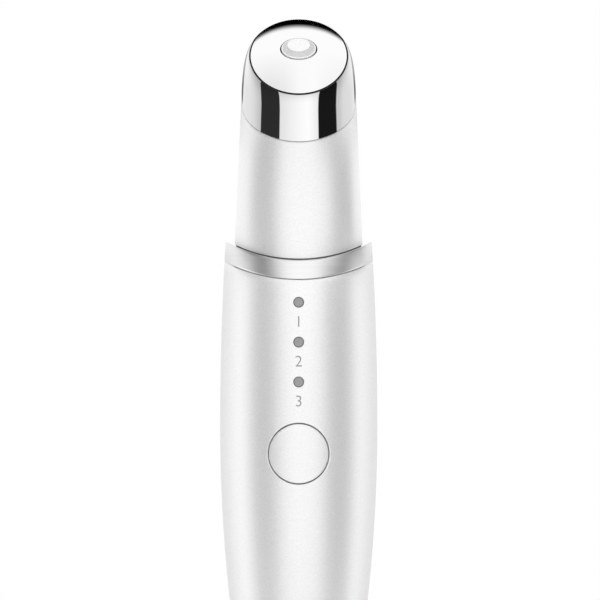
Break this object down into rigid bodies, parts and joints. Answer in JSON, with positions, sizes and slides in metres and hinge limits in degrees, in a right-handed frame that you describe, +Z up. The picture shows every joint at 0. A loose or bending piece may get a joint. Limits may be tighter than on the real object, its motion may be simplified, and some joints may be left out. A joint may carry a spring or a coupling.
{
  "type": "heated eye massager wand",
  "caption": "Slim round massager wand with a slanted chrome heating head, light lens, saddle-shaped trim ring, indicator dots and a round push button; stands on its tail.",
  "frame": {"origin": "centre of the flat base of the tail", "axes": "+Z up the wand to the head; the button and the indicator dots face -Y; +X to the right as seen from the front"},
  "size_m": [0.024, 0.024, 0.128],
  "materials": {
    "head_chrome": "mirror-polished plating",
    "pearl_white": "satin pearl paint with a fine grain",
    "ring_silver": "satin anodised",
    "lens_clear": "clear frosted lens",
    "pipe_grey": "smoky translucent",
    "inner_plastic": "moulded natural plastic",
    "black_plastic": "matt moulded",
    "seal_rubber": "soft black rubber",
    "foam_grey": "closed-cell foam",
    "film_amber": "amber film",
    "board_green": "solder resist",
    "led_yellow": "clear resin",
    "steel": "plain bright",
    "brass": "plain turned",
    "cell_blue": "shrink sleeve",
    "wire_red": "wire insulation",
    "wire_blue": "wire insulation",
    "wire_yellow": "wire insulation"
  },
  "bodies": {
    "root": {"head_cap": "head_chrome", "lens": "lens_clear", "heater_film": "film_amber", "pressure_pad": "foam_grey", "temp_sensor": "black_plastic", "head_led": "led_yellow", "light_board": "board_green", "head_carrier": "inner_plastic", "neck_sleeve": "pearl_white", "neck_seal": "seal_rubber", "trim_ring": "ring_silver", "front_shell": "pearl_white", "rear_shell": "pearl_white", "tail_cap": "pearl_white", "tact_switch": "black_plastic", "light_pipe_1": "pipe_grey", "light_pipe_2": "pipe_grey", "light_pipe_3": "pipe_grey", "indicator_leds": "led_yellow", "main_board": "board_green", "board_chips": "black_plastic", "power_inductor": "black_plastic", "board_screws": "steel", "battery_cell": "cell_blue", "battery_pads": "foam_grey", "chassis": "inner_plastic", "motor_can": "steel", "motor_end_cap": "black_plastic", "motor_boot": "seal_rubber", "charge_port": "steel", "port_tongue": "black_plastic", "charge_board": "board_green", "head_wires": "wire_red", "motor_wires": "wire_blue", "battery_wires": "wire_red", "charge_wires": "wire_yellow"},
    "button": {"button": "pearl_white"},
    "plunger": {"tact_plunger": "inner_plastic"},
    "rotor": {"motor_shaft": "steel", "eccentric_weight": "brass"}
  },
  "joints": [
    {"name": "button_press", "type": "slide", "parent": "root", "child": "button", "axis": [0, 1, 0], "range_m": [0, 0.00035], "stiffness_N_per_m": 4000},
    {"name": "plunger_press", "type": "slide", "parent": "root", "child": "plunger", "axis": [0, 1, 0], "range_m": [0, 0.00035]},
    {"name": "motor_spin", "type": "hinge", "parent": "root", "child": "rotor", "pos_m": [0, 0, 0.1], "axis": [0, 0, 1], "continuous": true}
  ],
  "couplings": [
    {"joint": "plunger_press", "follows": "button_press", "ratio": 1}
  ]
}
